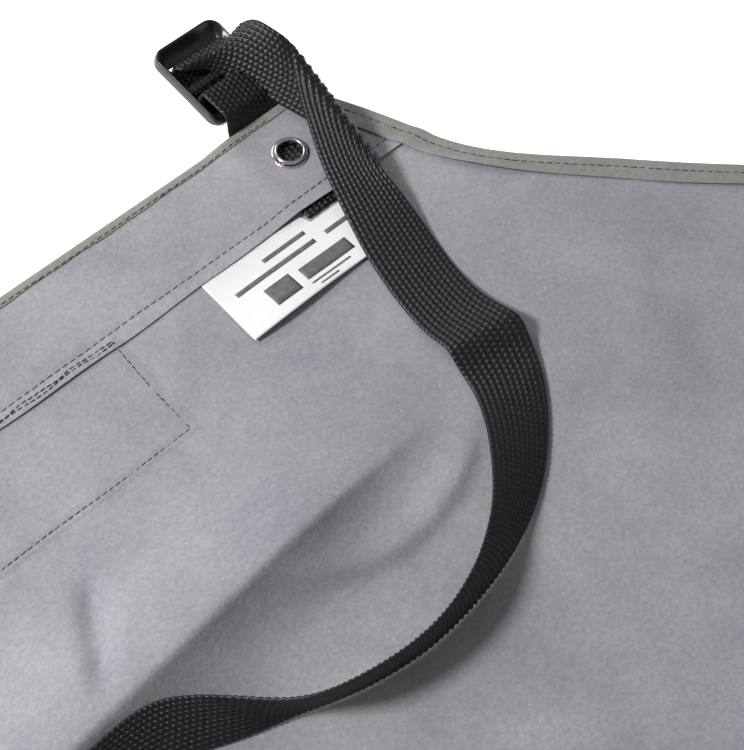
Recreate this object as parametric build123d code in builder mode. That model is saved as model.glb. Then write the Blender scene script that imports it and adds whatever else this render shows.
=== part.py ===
from build123d import *
from math import cos, radians, sin
import os

os.makedirs("parts", exist_ok=True)

# A liquid-proof bib apron lying on its front, back (inside) face up.
# X runs along the bib's top edge, Y runs towards that edge, Z is up and the floor is Z = 0.
# All lengths are in millimetres.

# Cut size of the apron
LENGTH = 1140
HALF_WIDTH = 445
HALF_BIB = 160
CLOTH = 0.5
HEM = 9
BOTTOM_RADIUS = 6

# The adjuster stands this far beyond the top edge, and the origin is the middle of the whole part
ADJUSTER_REACH = 41
TOP = (LENGTH - ADJUSTER_REACH) / 2
BOTTOM = TOP - LENGTH

# Right armhole edge: distance out from the bib corner, distance down, edge angle from straight down
ARMHOLE = [(0, 0, 30), (23, 46, 24), (72, 102, 45), (170, 186, 53), (285, 250, 66)]
WAIST = TOP - ARMHOLE[-1][1]

# Facing across the top of the bib and its narrow turned edge
FACING_DEPTH = 41
FACING_HALF = HALF_BIB - 1.5
ROLL_DEPTH = 3.6
ROLL_HALF = 147

# Webbing, and the channels that it runs through under the facing
WEBBING = 25
WEBBING_T = 1.4
TAB_X = 136.4
CHANNEL = WEBBING + 1
CHANNEL_H = 2.0
TAB_END = 44.2
TAB_RISE = 4.5

# Patch sewn to the front of the bib
PATCH_HALF = 42
PATCH_TOP = 37.6
PATCH_BOTTOM = 83
STEP_WALL = 0.6

# Label sewn under the facing
LABEL_LEFT = 77.5
LABEL_RIGHT = 139.5
LABEL_TOP = FACING_DEPTH + 0.3
LABEL_BOTTOM = 70.6
LABEL_T = 0.25
LABEL_LIFT = 0.1

# Two-piece eyelets
EYELET_HOLE = 4.45
EYELET_TUBE = 5.0
EYELET_FLANGE = 7.0
EYELET_FLANGE_T = 0.45
EYELET_CURL = 0.75
WASHER_T = 0.5
BIB_EYELET_DROP = 19.4
WAIST_EYELET = (HALF_WIDTH - 29, WAIST - 28)
CORNER_PATCH = 40

# Sewing thread
THREAD = 0.6
THREAD_H = 0.25
TOP_SEAM = 3.0
FACING_SEAM = 35.9
HEM_SEAM = 3.8
PATCH_SEAM = 1.4

# Slide adjuster, in its own axes: x across the webbing, y along it
ADJUSTER_WIDTH = 32
ADJUSTER_LENGTH = 36
ADJUSTER_T = 3.4
ADJUSTER_RADIUS = 4.5
SLOT_WIDTH = 26.6
NEAR_BAR = 4.4
FAR_BAR = 6.4
CENTRE_BAR = 4.0
RIM = 1.7
RIM_H = 1.5
RIM_CHAMFER = 0.45
BASE_CHAMFER = 0.7
SLOT_RADIUS = 1.2
RIB_PITCH = 2.2
RIB_COUNT = 12
RIB_WIDTH = 1.1
RIB_H = 0.4
PIVOT_Y = -ADJUSTER_LENGTH / 2 + NEAR_BAR / 2
ADJUSTER_PLACE = Location((134.6, TOP + 22, 10), (12.5, 10.5, 4.5))

# Neck strap: the part lying flat over the bib, then the part standing on its edge
STRAP_T = 1.5
FLAT_Z = 5.6
EDGE_Z = 1.85
FLAT_ROUTE = [(151.8, -20), (142.5, -72), (137.6, -122)]
EDGE_ROUTE = [
    (137.6, -122), (135.5, -140), (118, -165), (88, -184), (50, -189), (12, -180), (-16, -165),
    (-44, -158), (-74, -157), (-98, -138), (-107, -100), (-101, -55), (-94, -8), (-97, 30),
    (-108, 50), (-126, 50), (-136.4, 31), (-136.4, 6),
]
ARC_SHARE = 0.45


def armhole(inset):
    """Right armhole edge, moved into the cloth by inset."""
    return [
        (HALF_BIB + out - inset * cos(radians(angle)), TOP - down - inset * sin(radians(angle)))
        for out, down, angle in ARMHOLE
    ]


def armhole_tangents():
    ends = ARMHOLE[0], ARMHOLE[-1]
    return [(sin(radians(angle)), -cos(radians(angle))) for _, _, angle in ends]


def corner_radii(points):
    """One radius per corner of a route, as large as its two runs allow."""
    route = [Vector(*p) for p in points]
    radii = []
    for before, here, after in zip(route, route[1:], route[2:]):
        turn = radians((here - before).get_angle(after - here))
        shorter = min((here - before).length, (after - here).length)
        radii.append(ARC_SHARE * shorter * cos(turn / 2) / sin(turn / 2))
    return radii


def finish(part, name):
    part.label = name
    export_step(part, f"parts/{name}.step")


def finish_pair(part, name):
    """The right-hand piece and its mirror image on the left."""
    finish(part, f"{name}_right")
    finish(mirror(part, about=Plane.YZ), f"{name}_left")


# Main panel, stepped up over the front patch and over the waist eyelets' front flanges
with BuildPart() as main_panel:
    with BuildSketch():
        with BuildLine():
            right_edge = Spline(*armhole(0), tangents=armhole_tangents())
            left_edge = mirror(right_edge, about=Plane.YZ)
            Line(left_edge @ 0, right_edge @ 0)
            side = Line(right_edge @ 1, (HALF_WIDTH, BOTTOM))
            other = Line(left_edge @ 1, (-HALF_WIDTH, BOTTOM))
            Line(side @ 1, other @ 1)
        make_face()
        fillet([v for v in vertices() if abs(v.Y - BOTTOM) < 1], radius=BOTTOM_RADIUS)
    extrude(amount=CLOTH)
    patch_mid = TOP - (PATCH_TOP + PATCH_BOTTOM) / 2
    patch_height = PATCH_BOTTOM - PATCH_TOP
    with BuildSketch(Plane.XY):
        with Locations((0, patch_mid)):
            Rectangle(2 * (PATCH_HALF + STEP_WALL), patch_height + 2 * STEP_WALL)
    extrude(amount=2 * CLOTH)
    with BuildSketch(Plane.XY):
        with Locations((0, patch_mid)):
            Rectangle(2 * PATCH_HALF, patch_height)
    extrude(amount=CLOTH, mode=Mode.SUBTRACT)
    for side_sign in (-1, 1):
        eyelet_at = (side_sign * WAIST_EYELET[0], WAIST_EYELET[1])
        with BuildSketch(Plane.XY):
            with Locations(eyelet_at):
                Circle(EYELET_FLANGE + 2 * STEP_WALL)
        extrude(amount=EYELET_FLANGE_T + CLOTH)
        with BuildSketch(Plane.XY):
            with Locations(eyelet_at):
                Circle(EYELET_FLANGE + 0.2)
        extrude(amount=EYELET_FLANGE_T, mode=Mode.SUBTRACT)
        with BuildSketch(Plane.XY):
            with Locations(eyelet_at):
                Circle(EYELET_TUBE + 0.1)
        extrude(amount=2 * CLOTH, mode=Mode.SUBTRACT)
finish(main_panel.part, "main_panel")

# Patch on the front, flush with the panel's underside
with BuildPart() as front_patch:
    with BuildSketch():
        with Locations((0, patch_mid)):
            Rectangle(2 * PATCH_HALF - 0.2, patch_height - 0.2)
    extrude(amount=CLOTH)
finish(front_patch.part, "front_patch")

# Facing: a strip behind the top of the bib, raised over the webbing channels and the front patch
with BuildPart() as top_facing:
    with BuildSketch(Plane.XY.offset(CLOTH)):
        with BuildLine():
            Polyline(
                (-FACING_HALF, TOP), (FACING_HALF, TOP),
                (FACING_HALF + 18, TOP - FACING_DEPTH), (-FACING_HALF - 18, TOP - FACING_DEPTH), close=True,
            )
        make_face()
    extrude(amount=CLOTH)
    with BuildSketch(Plane.XY.offset(CLOTH)):
        with Locations((-TAB_X, TOP - FACING_DEPTH / 2), (TAB_X, TOP - FACING_DEPTH / 2)):
            Rectangle(CHANNEL + 2 * CLOTH, FACING_DEPTH)
    extrude(amount=CHANNEL_H + CLOTH)
    lap_mid = TOP - (PATCH_TOP - 1.2 + FACING_DEPTH) / 2
    lap_depth = FACING_DEPTH - PATCH_TOP + 1.2
    with BuildSketch(Plane.XY.offset(CLOTH)):
        with Locations((0, lap_mid)):
            Rectangle(2 * (PATCH_HALF + 2 * STEP_WALL), lap_depth)
    extrude(amount=2 * CLOTH)
    with BuildSketch(Plane.XY.offset(CLOTH)):
        with Locations((-TAB_X, TOP - FACING_DEPTH / 2), (TAB_X, TOP - FACING_DEPTH / 2)):
            Rectangle(CHANNEL, FACING_DEPTH + 2)
    extrude(amount=CHANNEL_H, mode=Mode.SUBTRACT)
    with BuildSketch(Plane.XY.offset(CLOTH)):
        with Locations((0, patch_mid)):
            Rectangle(2 * (PATCH_HALF + STEP_WALL), patch_height + 2 * STEP_WALL)
    extrude(amount=CLOTH, mode=Mode.SUBTRACT)
    with BuildSketch(Plane.XY.offset(CLOTH)):
        with Locations((-TAB_X, TOP - BIB_EYELET_DROP), (TAB_X, TOP - BIB_EYELET_DROP)):
            Circle(EYELET_TUBE + 0.1)
    extrude(amount=2 * CHANNEL_H, mode=Mode.SUBTRACT)
finish(top_facing.part, "top_facing")

# Narrow edge of the front cloth turned over the facing, stepping over the webbing channels
with BuildPart() as top_edge_roll:
    roll_z = 2 * CLOTH
    with BuildSketch(Plane.XY.offset(roll_z)):
        with Locations((0, TOP - ROLL_DEPTH / 2)):
            Rectangle(2 * ROLL_HALF + 16, ROLL_DEPTH)
    extrude(amount=CLOTH)
    with BuildSketch(Plane.XY.offset(roll_z)):
        with Locations((-TAB_X, TOP - ROLL_DEPTH / 2), (TAB_X, TOP - ROLL_DEPTH / 2)):
            Rectangle(CHANNEL + 4 * CLOTH, ROLL_DEPTH)
    extrude(amount=CHANNEL_H + CLOTH)
    with BuildSketch(Plane.XY.offset(roll_z)):
        with Locations((-TAB_X, TOP - ROLL_DEPTH / 2), (TAB_X, TOP - ROLL_DEPTH / 2)):
            Rectangle(CHANNEL + 2 * CLOTH, ROLL_DEPTH + 1)
    extrude(amount=CHANNEL_H, mode=Mode.SUBTRACT)
    with BuildSketch(Plane.XY.offset(roll_z)):
        with Locations((-ROLL_HALF - 13, TOP), (ROLL_HALF + 13, TOP)):
            Rectangle(16, 2 * ROLL_DEPTH + 1)
    extrude(amount=3 * CHANNEL_H, mode=Mode.SUBTRACT)
finish(top_edge_roll.part, "top_edge_roll")

# Armhole hems, single folds that lie on the facing first and then on the panel
with BuildPart() as armhole_hem:
    with BuildSketch(Plane.XY.offset(CLOTH)):
        with BuildLine():
            outer = Spline(*armhole(0.3), tangents=armhole_tangents())
            inner = Spline(*armhole(HEM), tangents=armhole_tangents())
            Line(outer @ 0, inner @ 0)
            Line(outer @ 1, inner @ 1)
        make_face()
    extrude(amount=2 * CLOTH)
    with BuildSketch(Plane.XY.offset(2 * CLOTH)):
        with Locations((HALF_WIDTH / 2 + HALF_BIB, TOP - FACING_DEPTH - 1.5 - LENGTH / 4)):
            Rectangle(HALF_WIDTH, LENGTH / 2)
    extrude(amount=CLOTH, mode=Mode.SUBTRACT)
    with BuildSketch(Plane.XY.offset(CLOTH)):
        with Locations((HALF_BIB, TOP - FACING_DEPTH / 2 + 1)):
            Rectangle(HALF_WIDTH / 2, FACING_DEPTH + 2)
    extrude(amount=CLOTH, mode=Mode.SUBTRACT)
finish_pair(armhole_hem.part, "armhole_hem")

# Side hems below the waist, and the bottom hem between them
with BuildPart() as side_hem:
    with BuildSketch(Plane.XY.offset(CLOTH)):
        with BuildLine():
            waist_gap = 8
            Polyline(
                (HALF_WIDTH - 0.3, WAIST - waist_gap), (HALF_WIDTH - 0.3, BOTTOM + HEM + 3),
                (HALF_WIDTH - HEM, BOTTOM + HEM + 3), (HALF_WIDTH - HEM, WAIST - waist_gap - 4), close=True,
            )
        make_face()
    extrude(amount=CLOTH)
finish_pair(side_hem.part, "side_hem")

with BuildPart() as bottom_hem:
    with BuildSketch(Plane.XY.offset(CLOTH)):
        with Locations((0, BOTTOM + 0.3 + HEM / 2)):
            RectangleRounded(2 * HALF_WIDTH - 0.6, HEM, HEM / 2 - 0.5)
    extrude(amount=CLOTH)
finish(bottom_hem.part, "bottom_hem")

# Square reinforcements behind the waist eyelets
with BuildPart() as corner_patch:
    with BuildSketch(Plane.XY.offset(CLOTH)):
        with Locations(WAIST_EYELET):
            RectangleRounded(CORNER_PATCH, CORNER_PATCH, 2)
            Circle(EYELET_FLANGE + 2 * STEP_WALL + 0.1, mode=Mode.SUBTRACT)
    extrude(amount=CLOTH)
finish_pair(corner_patch.part, "waist_reinforcement")


def eyelet(place, z, stack):
    """Tube with a flat flange below and a curled rim above; stack is the height it clamps."""
    curl_z = EYELET_FLANGE_T + stack + EYELET_CURL
    with BuildPart() as barrel:
        with BuildSketch(Plane.XZ):
            with BuildLine():
                Polyline(
                    (EYELET_HOLE, 0), (EYELET_FLANGE, 0), (EYELET_FLANGE, EYELET_FLANGE_T),
                    (EYELET_TUBE, EYELET_FLANGE_T), (EYELET_TUBE, curl_z), (EYELET_HOLE, curl_z), close=True,
                )
            make_face()
            with Locations((EYELET_HOLE + EYELET_CURL, curl_z)):
                Circle(EYELET_CURL)
        revolve(axis=Axis.Z)
    return Pos(place[0], place[1], z) * barrel.part


def washer(place, z):
    """Domed ring that the eyelet's rim curls over."""
    with BuildPart() as ring:
        with BuildSketch(Plane.XZ):
            with BuildLine():
                Polyline(
                    (EYELET_TUBE + 0.05, 0), (EYELET_FLANGE + 0.1, 0), (EYELET_FLANGE + 0.1, 0.2),
                    (EYELET_FLANGE - 0.3, WASHER_T), (EYELET_TUBE + 0.05, WASHER_T), close=True,
                )
            make_face()
        revolve(axis=Axis.Z)
    return Pos(place[0], place[1], z) * ring.part


# Bib eyelets clamp the facing only; waist eyelets clamp the panel
bib_place = (TAB_X, TOP - BIB_EYELET_DROP)
bib_flange_z = CLOTH + CHANNEL_H - EYELET_FLANGE_T
finish_pair(eyelet(bib_place, bib_flange_z, CLOTH + WASHER_T), "bib_eyelet")
finish_pair(washer(bib_place, 2 * CLOTH + CHANNEL_H), "bib_eyelet_washer")
finish_pair(eyelet(WAIST_EYELET, 0, CLOTH + WASHER_T), "waist_eyelet")
finish_pair(washer(WAIST_EYELET, EYELET_FLANGE_T + CLOTH), "waist_eyelet_washer")

# Label, notched beside the webbing's cut end
with BuildPart() as label:
    with BuildSketch(Plane.XY.offset(CLOTH + LABEL_LIFT)):
        with BuildLine():
            notch_x = TAB_X - WEBBING / 2 - 1
            notch_y = TOP - TAB_END - 0.8
            Polyline(
                (LABEL_LEFT, TOP - LABEL_TOP), (notch_x, TOP - LABEL_TOP), (notch_x, notch_y),
                (LABEL_RIGHT, notch_y), (LABEL_RIGHT, TOP - LABEL_BOTTOM), (LABEL_LEFT, TOP - LABEL_BOTTOM),
                close=True,
            )
        make_face()
    extrude(amount=LABEL_T)
finish(label.part, "label")

# Slide adjuster: a frame with two slots, a raised rim and a ribbed centre bar, built flat
slot_room = ADJUSTER_LENGTH - NEAR_BAR - FAR_BAR - CENTRE_BAR
slot = slot_room / 2
near_slot_y = -ADJUSTER_LENGTH / 2 + NEAR_BAR + slot / 2
centre_bar_y = near_slot_y + slot / 2 + CENTRE_BAR / 2
far_slot_y = centre_bar_y + CENTRE_BAR / 2 + slot / 2
with BuildPart() as tri_glide:
    with BuildSketch(Plane.XY.offset(-ADJUSTER_T / 2)):
        RectangleRounded(ADJUSTER_WIDTH, ADJUSTER_LENGTH, ADJUSTER_RADIUS)
        with Locations((0, near_slot_y), (0, far_slot_y)):
            RectangleRounded(SLOT_WIDTH, slot, SLOT_RADIUS, mode=Mode.SUBTRACT)
    extrude(amount=ADJUSTER_T)
    with BuildSketch(Plane.XY.offset(ADJUSTER_T / 2)):
        RectangleRounded(ADJUSTER_WIDTH, ADJUSTER_LENGTH, ADJUSTER_RADIUS)
        RectangleRounded(
            ADJUSTER_WIDTH - 2 * RIM, ADJUSTER_LENGTH - 2 * RIM, ADJUSTER_RADIUS - RIM, mode=Mode.SUBTRACT
        )
        with Locations((0, -ADJUSTER_LENGTH / 2)):
            Rectangle(SLOT_WIDTH, 4 * RIM, mode=Mode.SUBTRACT)
    extrude(amount=RIM_H)
    rim_top = faces().filter_by(Axis.Z).sort_by(Axis.Z)[-1]
    chamfer(rim_top.edges(), length=RIM_CHAMFER)
    base = faces().filter_by(Axis.Z).sort_by(Axis.Z)[0]
    chamfer(base.outer_wire().edges(), length=BASE_CHAMFER)
    with BuildSketch(Plane.XY.offset(ADJUSTER_T / 2)):
        with GridLocations(RIB_PITCH, 1, RIB_COUNT, 1):
            with Locations((0, centre_bar_y)):
                Rectangle(RIB_WIDTH, CENTRE_BAR - 1.4)
    extrude(amount=RIB_H)
adjuster = ADJUSTER_PLACE * tri_glide.part
finish(adjuster, "tri_glide")


# The strap's turn round the centre bar, which rides with the adjuster
with BuildPart() as strap_turn:
    with BuildSketch(Plane.YZ.offset(-WEBBING / 2)):
        with BuildLine():
            gap = 0.4
            low = -ADJUSTER_T / 2 - gap - WEBBING_T / 2
            high = ADJUSTER_T / 2 + RIB_H + gap + WEBBING_T / 2
            edge = centre_bar_y + CENTRE_BAR / 2 + gap + WEBBING_T / 2
            start_y = centre_bar_y - CENTRE_BAR / 2 + gap
            FilletPolyline((start_y, high), (edge, high), (edge, low), (start_y, low), radius=1.4)
        trace(line_width=WEBBING_T)
    extrude(amount=WEBBING)
finish(ADJUSTER_PLACE * strap_turn.part, "strap_turn")

# Webbing loop sewn in the right-hand channel, holding the adjuster by its near bar
loop_gap = NEAR_BAR / 2 + 1.8
loop_tip = PIVOT_Y + 10.2
loop_root = PIVOT_Y - 3.2
with BuildPart() as loop_end:
    with BuildSketch(Plane.YZ.offset(-WEBBING / 2)):
        with BuildLine():
            FilletPolyline(
                (loop_root, loop_gap), (loop_tip, loop_gap), (loop_tip, -loop_gap), (loop_root + 4, -loop_gap),
                radius=loop_gap - 0.3,
            )
        trace(line_width=WEBBING_T)
    extrude(amount=WEBBING)
placed_loop = ADJUSTER_PLACE * loop_end.part
loop_end_face = placed_loop.faces().sort_by(Axis.Y)[0]
tab_z = CLOTH + 0.1
tab_middle = tab_z + WEBBING_T / 2
with BuildPart() as adjuster_tab:
    add(placed_loop)
    with BuildSketch(Plane.YZ.offset(TAB_X - WEBBING / 2)):
        with BuildLine():
            rise_y = TOP + 0.9
            FilletPolyline(
                (TOP - TAB_END, tab_middle), (rise_y, tab_middle), (rise_y, tab_middle + TAB_RISE), radius=1.2
            )
        trace(line_width=WEBBING_T)
    extrude(amount=WEBBING)
    rise_end = faces().filter_by(Axis.Z).sort_by(Axis.Z)[-1]
    loft([rise_end, loop_end_face], ruled=True)
finish(adjuster_tab.part, "adjuster_tab")

# Sewn-in end of the neck strap in the left-hand channel
with BuildPart() as strap_anchor:
    with BuildSketch(Plane.XY.offset(tab_z)):
        with Locations((-TAB_X, TOP + EDGE_ROUTE[-1][1] / 2 - TAB_END / 2)):
            Rectangle(WEBBING, TAB_END + EDGE_ROUTE[-1][1])
    extrude(amount=WEBBING_T)
finish(strap_anchor.part, "strap_anchor")

# Neck strap, plain: flat over the bib, then standing on its edge all the way back to its sewn-in end
with BuildPart() as neck_strap_flat:
    with BuildSketch(Plane.XY.offset(FLAT_Z)):
        with BuildLine():
            flat_points = [(x, TOP + y) for x, y in FLAT_ROUTE]
            FilletPolyline(*flat_points, radius=corner_radii(flat_points))
        trace(line_width=WEBBING)
    extrude(amount=STRAP_T)
finish(neck_strap_flat.part, "neck_strap_flat")

with BuildPart() as neck_strap_edge:
    with BuildSketch(Plane.XY.offset(EDGE_Z)):
        with BuildLine() as edge_line:
            edge_points = [(x, TOP + y) for x, y in EDGE_ROUTE]
            FilletPolyline(*edge_points, radius=corner_radii(edge_points))
        trace(line_width=STRAP_T)
    extrude(amount=WEBBING)
finish(neck_strap_edge.part, "neck_strap_edge")
print("strap radii", [round(r, 1) for r in corner_radii(edge_points)])
edge_length = sum(e.length for e in edge_line.edges())
print("strap edge length", round(edge_length, 1), "volume", round(neck_strap_edge.part.volume))


def seam(name, z, strips, pair=False):
    """Rows of sewing thread, each a (middle x, middle y, length x, length y) strip."""
    with BuildPart() as rows:
        with BuildSketch(Plane.XY.offset(z)):
            for x, y, dx, dy in strips:
                with Locations((x, y)):
                    Rectangle(dx, dy)
        extrude(amount=THREAD_H)
    if pair:
        finish_pair(rows.part, name)
    else:
        finish(rows.part, name)


def curved_seam(z, drop_from, drop_to):
    """Thread along the right armhole hem, between two distances below the top edge."""
    with BuildPart() as row:
        with BuildSketch(Plane.XY.offset(z)):
            with BuildLine():
                near = Spline(*armhole(HEM_SEAM - THREAD / 2), tangents=armhole_tangents())
                far = Spline(*armhole(HEM_SEAM + THREAD / 2), tangents=armhole_tangents())
                Line(near @ 0, far @ 0)
                Line(near @ 1, far @ 1)
            make_face()
            with Locations((HALF_BIB + HALF_WIDTH / 2, TOP - (drop_from + drop_to) / 2)):
                Rectangle(HALF_WIDTH, drop_to - drop_from, mode=Mode.INTERSECT)
        extrude(amount=THREAD_H)
    return row.part


channel_edge = TAB_X - CHANNEL / 2 - 3 * CLOTH
seam("top_stitch", 3 * CLOTH, [(0, TOP - TOP_SEAM, 2 * channel_edge, THREAD)])
seam(
    "facing_stitch", 2 * CLOTH,
    [(0, TOP - FACING_SEAM, 2 * channel_edge, THREAD)],
)
patch_x = PATCH_HALF - PATCH_SEAM
patch_low = TOP - PATCH_BOTTOM + PATCH_SEAM
patch_high = TOP - FACING_DEPTH - 0.2
seam(
    "patch_stitch", 2 * CLOTH,
    [
        (-patch_x, (patch_low + patch_high) / 2, THREAD, patch_high - patch_low),
        (patch_x, (patch_low + patch_high) / 2, THREAD, patch_high - patch_low),
        (0, patch_low, 2 * patch_x + THREAD, THREAD),
    ],
)
seam("patch_top_stitch", 3 * CLOTH, [(0, TOP - PATCH_TOP - PATCH_SEAM, 2 * patch_x, THREAD)])
hem_step = FACING_DEPTH + 2
with BuildPart() as armhole_stitch:
    add(curved_seam(3 * CLOTH, HEM_SEAM, hem_step - 0.6))
    add(curved_seam(2 * CLOTH, hem_step + 0.1, TOP - WAIST - 4))
finish_pair(armhole_stitch.part, "armhole_stitch")
side_low = BOTTOM + HEM + 4
side_high = WAIST - waist_gap - 5
side_x = HALF_WIDTH - HEM_SEAM
seam("side_stitch", 2 * CLOTH, [(side_x, (side_low + side_high) / 2, THREAD, side_high - side_low)], pair=True)
seam("bottom_stitch", 2 * CLOTH, [(0, BOTTOM + HEM - 2, 2 * HALF_WIDTH - 12, THREAD)])
patch_row = CORNER_PATCH - 4
seam(
    "waist_reinforcement_stitch", 2 * CLOTH,
    [
        (WAIST_EYELET[0], WAIST_EYELET[1] + row * patch_row / 2, patch_row + THREAD, THREAD) for row in (-1, 1)
    ]
    + [
        (WAIST_EYELET[0] + row * patch_row / 2, WAIST_EYELET[1], THREAD, patch_row + THREAD) for row in (-1, 1)
    ],
    pair=True,
)

# The near bar's middle line is the hinge that the record names
pivot = (ADJUSTER_PLACE * Pos(0, PIVOT_Y, 0)).position
axis_end = (ADJUSTER_PLACE * Pos(1, PIVOT_Y, 0)).position
print("pivot", [round(v, 3) for v in pivot], "axis", [round(v, 5) for v in (axis_end - pivot)])
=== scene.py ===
import math

import bmesh
import bpy
import numpy as np
from mathutils import Matrix, Vector


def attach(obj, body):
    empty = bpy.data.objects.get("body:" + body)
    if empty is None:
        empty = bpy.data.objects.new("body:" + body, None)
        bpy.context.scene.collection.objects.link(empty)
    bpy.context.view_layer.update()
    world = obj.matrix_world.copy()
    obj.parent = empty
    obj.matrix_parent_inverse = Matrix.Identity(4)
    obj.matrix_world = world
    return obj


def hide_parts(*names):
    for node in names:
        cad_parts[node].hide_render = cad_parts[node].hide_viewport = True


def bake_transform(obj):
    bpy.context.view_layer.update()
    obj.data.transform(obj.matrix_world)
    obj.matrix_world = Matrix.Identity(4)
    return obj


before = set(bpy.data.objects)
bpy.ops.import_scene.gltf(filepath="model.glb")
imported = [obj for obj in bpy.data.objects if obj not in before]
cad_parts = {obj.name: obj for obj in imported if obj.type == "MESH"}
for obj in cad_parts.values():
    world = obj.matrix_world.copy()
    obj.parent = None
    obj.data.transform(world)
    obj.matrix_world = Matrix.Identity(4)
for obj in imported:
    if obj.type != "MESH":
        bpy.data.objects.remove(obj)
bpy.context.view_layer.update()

# A coated-cloth bib apron lying on its front. Lengths below are in millimetres in the CAD's axes:
# X along the bib's top edge, Y towards it, Z up from the floor. Meshes are written in metres.
MM = 0.001
TOP = 549.5
BOTTOM = -590.5
HALF_WIDTH = 445.0
HALF_BIB = 160.0
CLOTH = 0.5
HEM = 9.0
BOTTOM_RADIUS = 6.0
ARMHOLE = [(0, 0, 30), (23, 46, 24), (72, 102, 45), (170, 186, 53), (285, 250, 66)]
WAIST = TOP - ARMHOLE[-1][1]
FACING_DEPTH = 41.3
ROLL_DEPTH = 3.6
TAB_X = 136.4
WEBBING = 25.0
WEBBING_T = 1.4
CHANNEL_H = 2.0
TAB_END = 44.2
PATCH_HALF = 42.0
PATCH_TOP = 37.6
PATCH_BOTTOM = 83.0
WAIST_EYELET = (HALF_WIDTH - 29, WAIST - 28)
BIB_EYELET = (TAB_X, TOP - 19.4)
TOP_SEAM = 3.0
FACING_SEAM = 35.9
HEM_SEAM = 3.8
PATCH_SEAM = 1.4
PATCH_ROW_X = PATCH_HALF - PATCH_SEAM
RIDGE_Y, RIDGE_SLOPE, RIDGE_HEIGHT = TOP - 141.0, 0.0927, 15.5
CREASE_Y, CREASE_HEIGHT = TOP - 157.5, 2.2
GROOVE_DEPTH = 3.4
EYELET_HOLE, EYELET_TUBE, EYELET_FLANGE = 4.45, 5.0, 7.0
EYELET_FLANGE_T = 0.45
EYELET_CURL, EYELET_CURL_AT = 0.75, 5.2
STRAP_CLEARANCE = 0.9
rng = np.random.default_rng(7)


# ---------------------------------------------------------------- materials
def new_material(name, roughness, metallic=0.0, sheen=0.0, specular=0.5, coat=0.0):
    material = bpy.data.materials.new(name)
    material.use_nodes = True
    shader = material.node_tree.nodes["Principled BSDF"]
    shader.inputs["Roughness"].default_value = roughness
    shader.inputs["Metallic"].default_value = metallic
    shader.inputs["Sheen Weight"].default_value = sheen
    shader.inputs["Sheen Roughness"].default_value = 0.5
    shader.inputs["Specular IOR Level"].default_value = specular
    shader.inputs["Coat Weight"].default_value = coat
    return material, material.node_tree.nodes, material.node_tree.links, shader


def object_coordinates(nodes, links, scale=(1, 1, 1)):
    """Object coordinates in metres, scaled per axis."""
    coordinates = nodes.new("ShaderNodeTexCoord")
    mapping = nodes.new("ShaderNodeMapping")
    mapping.inputs["Scale"].default_value = scale
    links.new(coordinates.outputs["Object"], mapping.inputs["Vector"])
    return mapping.outputs["Vector"]


def noise_node(nodes, links, vector, scale, detail=3.0, roughness=0.55, distortion=0.0):
    node = nodes.new("ShaderNodeTexNoise")
    node.inputs["Scale"].default_value = scale
    node.inputs["Detail"].default_value = detail
    node.inputs["Roughness"].default_value = roughness
    node.inputs["Distortion"].default_value = distortion
    links.new(vector, node.inputs["Vector"])
    return node.outputs["Fac"]


def ramp_node(nodes, links, value, stops):
    ramp = nodes.new("ShaderNodeValToRGB")
    elements = ramp.color_ramp.elements
    while len(elements) < len(stops):
        elements.new(0.5)
    for element, (position, colour) in zip(elements, stops):
        element.position = position
        element.color = (*colour, 1)
    links.new(value, ramp.inputs["Fac"])
    return ramp.outputs["Color"]


def mix_colour(nodes, links, kind, factor, a, b):
    node = nodes.new("ShaderNodeMix")
    node.data_type = "RGBA"
    node.blend_type = kind
    for value, socket in ((factor, node.inputs[0]), (a, node.inputs[6]), (b, node.inputs[7])):
        if isinstance(value, bpy.types.NodeSocket):
            links.new(value, socket)
        elif isinstance(value, tuple):
            socket.default_value = (*value, 1)
        else:
            socket.default_value = value
    return node.outputs[2]


def bump_chain(nodes, links, shader, layers):
    """Layers are (height, strength, distance in metres), laid one over another."""
    normal = None
    for height, strength, distance in layers:
        bump = nodes.new("ShaderNodeBump")
        bump.inputs["Strength"].default_value = strength
        bump.inputs["Distance"].default_value = distance
        links.new(height, bump.inputs["Height"])
        if normal:
            links.new(normal, bump.inputs["Normal"])
        normal = bump.outputs["Normal"]
    links.new(normal, shader.inputs["Normal"])


def grid_weave(nodes, links, vector, threads_per_metre):
    """Height of a fine square weave in the XY plane."""
    heights = []
    for axis in ("X", "Y"):
        wave = nodes.new("ShaderNodeTexWave")
        wave.wave_type = "BANDS"
        wave.bands_direction = axis
        wave.inputs["Scale"].default_value = threads_per_metre / 20 * math.pi
        wave.inputs["Distortion"].default_value = 1.2
        wave.inputs["Detail"].default_value = 1.0
        wave.inputs["Detail Scale"].default_value = 2.0
        links.new(vector, wave.inputs["Vector"])
        heights.append(wave.outputs["Fac"])
    product = nodes.new("ShaderNodeMath")
    product.operation = "MULTIPLY"
    links.new(heights[0], product.inputs[0])
    links.new(heights[1], product.inputs[1])
    return product.outputs[0]


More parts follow.
